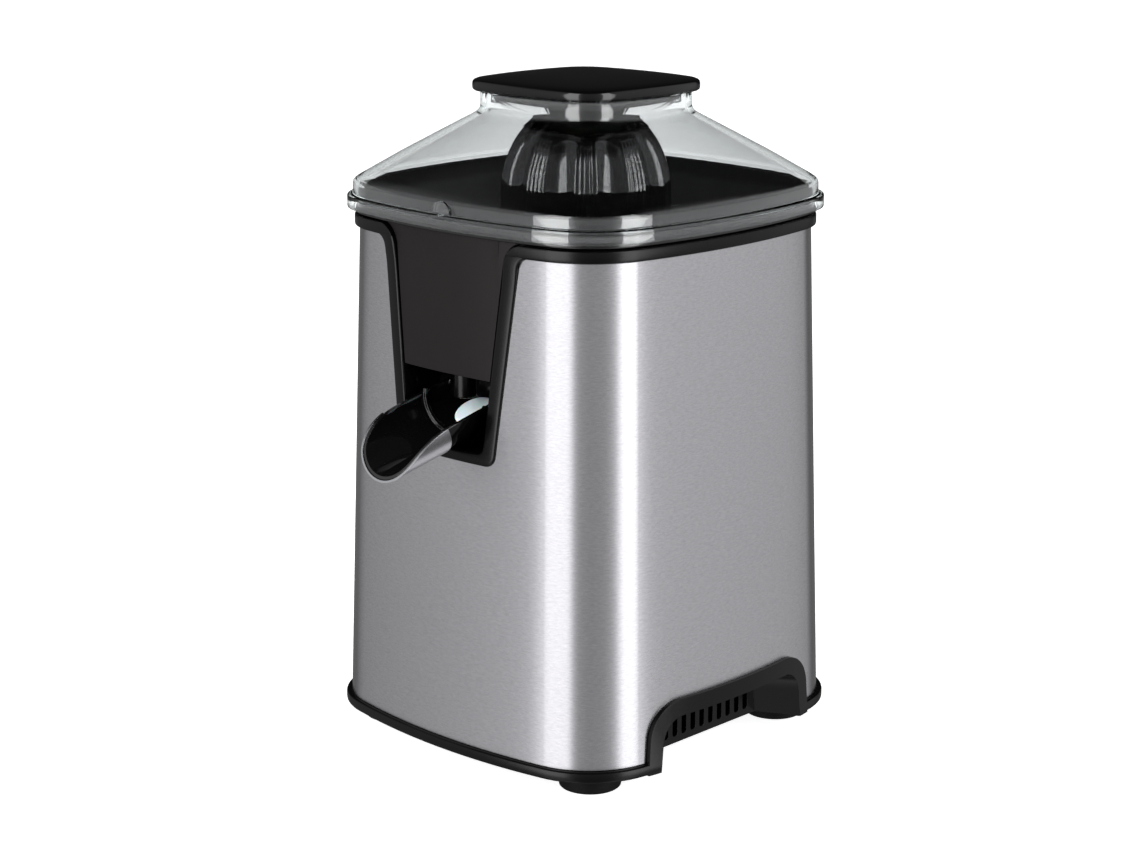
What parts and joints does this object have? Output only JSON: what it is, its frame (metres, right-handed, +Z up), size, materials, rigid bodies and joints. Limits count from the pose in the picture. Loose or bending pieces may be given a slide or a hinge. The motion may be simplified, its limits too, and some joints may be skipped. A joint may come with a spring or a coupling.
{
  "type": "citrus press juicer",
  "caption": "Tall electric citrus press: brushed steel housing, clear lid over a ridged reamer, juice bowl and a tilting drip-stop spout in a front bay.",
  "frame": {"origin": "centre of the bounding box at table level", "axes": "+Z up; -Y is the front, where the spout is; +X is the right-hand side of someone who faces the front"},
  "size_m": [0.1872, 0.2195, 0.2964],
  "materials": {
    "steel": "brushed stainless steel",
    "bright_steel": "smooth steel",
    "satin_silver": "satin silver",
    "black": "fine satin black",
    "gloss_black": "gloss black",
    "rubber": "matt black",
    "silicone": "pale translucent silicone",
    "clear": "clear",
    "gear_plastic": "natural nylon",
    "grey_plastic": "light grey",
    "copper": "enamelled copper wire",
    "iron": "bare laminated iron",
    "bronze": "sintered bronze"
  },
  "bodies": {
    "housing": {"base_tray": "black", "foot_front_left": "rubber", "foot_front_right": "rubber", "foot_rear_left": "rubber", "foot_rear_right": "rubber", "base_screw_front_left": "bright_steel", "base_screw_front_right": "bright_steel", "base_screw_rear_left": "bright_steel", "base_screw_rear_right": "bright_steel", "steel_housing": "steel", "top_frame": "black", "spout_bay": "black", "cable_gland": "rubber", "spout_pin_left": "bright_steel", "spout_pin_right": "bright_steel", "motor_deck": "grey_plastic", "gearbox_housing": "grey_plastic", "gearbox_cover": "grey_plastic", "gearbox_screw_1": "bright_steel", "gearbox_screw_2": "bright_steel", "gearbox_screw_3": "bright_steel", "shaft_bush": "bronze", "shaft_seal": "rubber", "layshaft_axle": "bright_steel", "switch_body": "gloss_black", "motor_core": "iron", "motor_coil": "copper", "motor_bracket_upper": "satin_silver", "motor_bracket_lower": "satin_silver", "motor_bolt_1": "bright_steel", "motor_bolt_2": "bright_steel"},
    "spout": {"spout_trough": "gloss_black", "spout_sleeve": "satin_silver", "spout_seal": "silicone"},
    "bowl": {"juice_bowl": "black", "juice_nozzle": "gloss_black"},
    "strainer": {"strainer": "bright_steel"},
    "reamer": {"reamer": "gloss_black"},
    "lid": {"lid_shell": "clear"},
    "cap": {"lid_cap": "gloss_black"},
    "output_gear": {"output_gear": "gear_plastic", "return_spring": "bright_steel"},
    "shaft": {"drive_shaft": "bright_steel"},
    "layshaft": {"layshaft_gear": "gear_plastic"},
    "rotor": {"motor_rotor": "iron", "motor_fan": "gear_plastic", "motor_pinion": "bronze"},
    "plunger": {"switch_plunger": "rubber"}
  },
  "joints": [
    {"name": "spout_tilt", "type": "hinge", "parent": "housing", "child": "spout", "pos_m": [0, -0.04644, 0.1654], "axis": [-1, 0, 0], "range_deg": [0, 28]},
    {"name": "motor_spin", "type": "hinge", "parent": "housing", "child": "rotor", "pos_m": [0.00789, 0.0311, 0.1034], "axis": [0, 0, 1], "continuous": true},
    {"name": "layshaft_spin", "type": "hinge", "parent": "housing", "child": "layshaft", "pos_m": [0, 0.06056, 0.1734], "axis": [0, 0, 1], "continuous": true},
    {"name": "output_spin", "type": "hinge", "parent": "housing", "child": "output_gear", "pos_m": [0, 0.01556, 0.1784], "axis": [0, 0, 1], "continuous": true},
    {"name": "shaft_press", "type": "slide", "parent": "output_gear", "child": "shaft", "axis": [0, 0, 1], "range_m": [-0.0025, 0], "stiffness_N_per_m": 1500, "springref_m": 0.004, "deforming": ["return_spring"]},
    {"name": "switch_press", "type": "slide", "parent": "housing", "child": "plunger", "axis": [0, 0, 1], "range_m": [-0.0025, 0]},
    {"name": "reamer_lift", "type": "slide", "parent": "shaft", "child": "reamer", "axis": [0, 0, 1], "range_m": [0, 0.15]},
    {"name": "strainer_lift", "type": "slide", "parent": "housing", "child": "strainer", "axis": [0, 0, 1], "range_m": [0, 0.1]},
    {"name": "bowl_lift", "type": "slide", "parent": "housing", "child": "bowl", "axis": [0, 0, 1], "range_m": [0, 0.06]},
    {"name": "lid_lift", "type": "slide", "parent": "housing", "child": "lid", "axis": [0, 0, 1], "range_m": [0, 0.2]},
    {"name": "cap_lift", "type": "slide", "parent": "lid", "child": "cap", "axis": [0, 0, 1], "range_m": [0, 0.04]}
  ],
  "couplings": [
    {"joint": "layshaft_spin", "follows": "motor_spin", "ratio": -0.22},
    {"joint": "output_spin", "follows": "motor_spin", "ratio": 0.044},
    {"joint": "switch_press", "follows": "shaft_press", "ratio": 1},
    {"joint": "reamer_lift", "follows": "lid_lift", "ratio": 0.75},
    {"joint": "strainer_lift", "follows": "lid_lift", "ratio": 0.5},
    {"joint": "bowl_lift", "follows": "lid_lift", "ratio": 0.3}
  ]
}
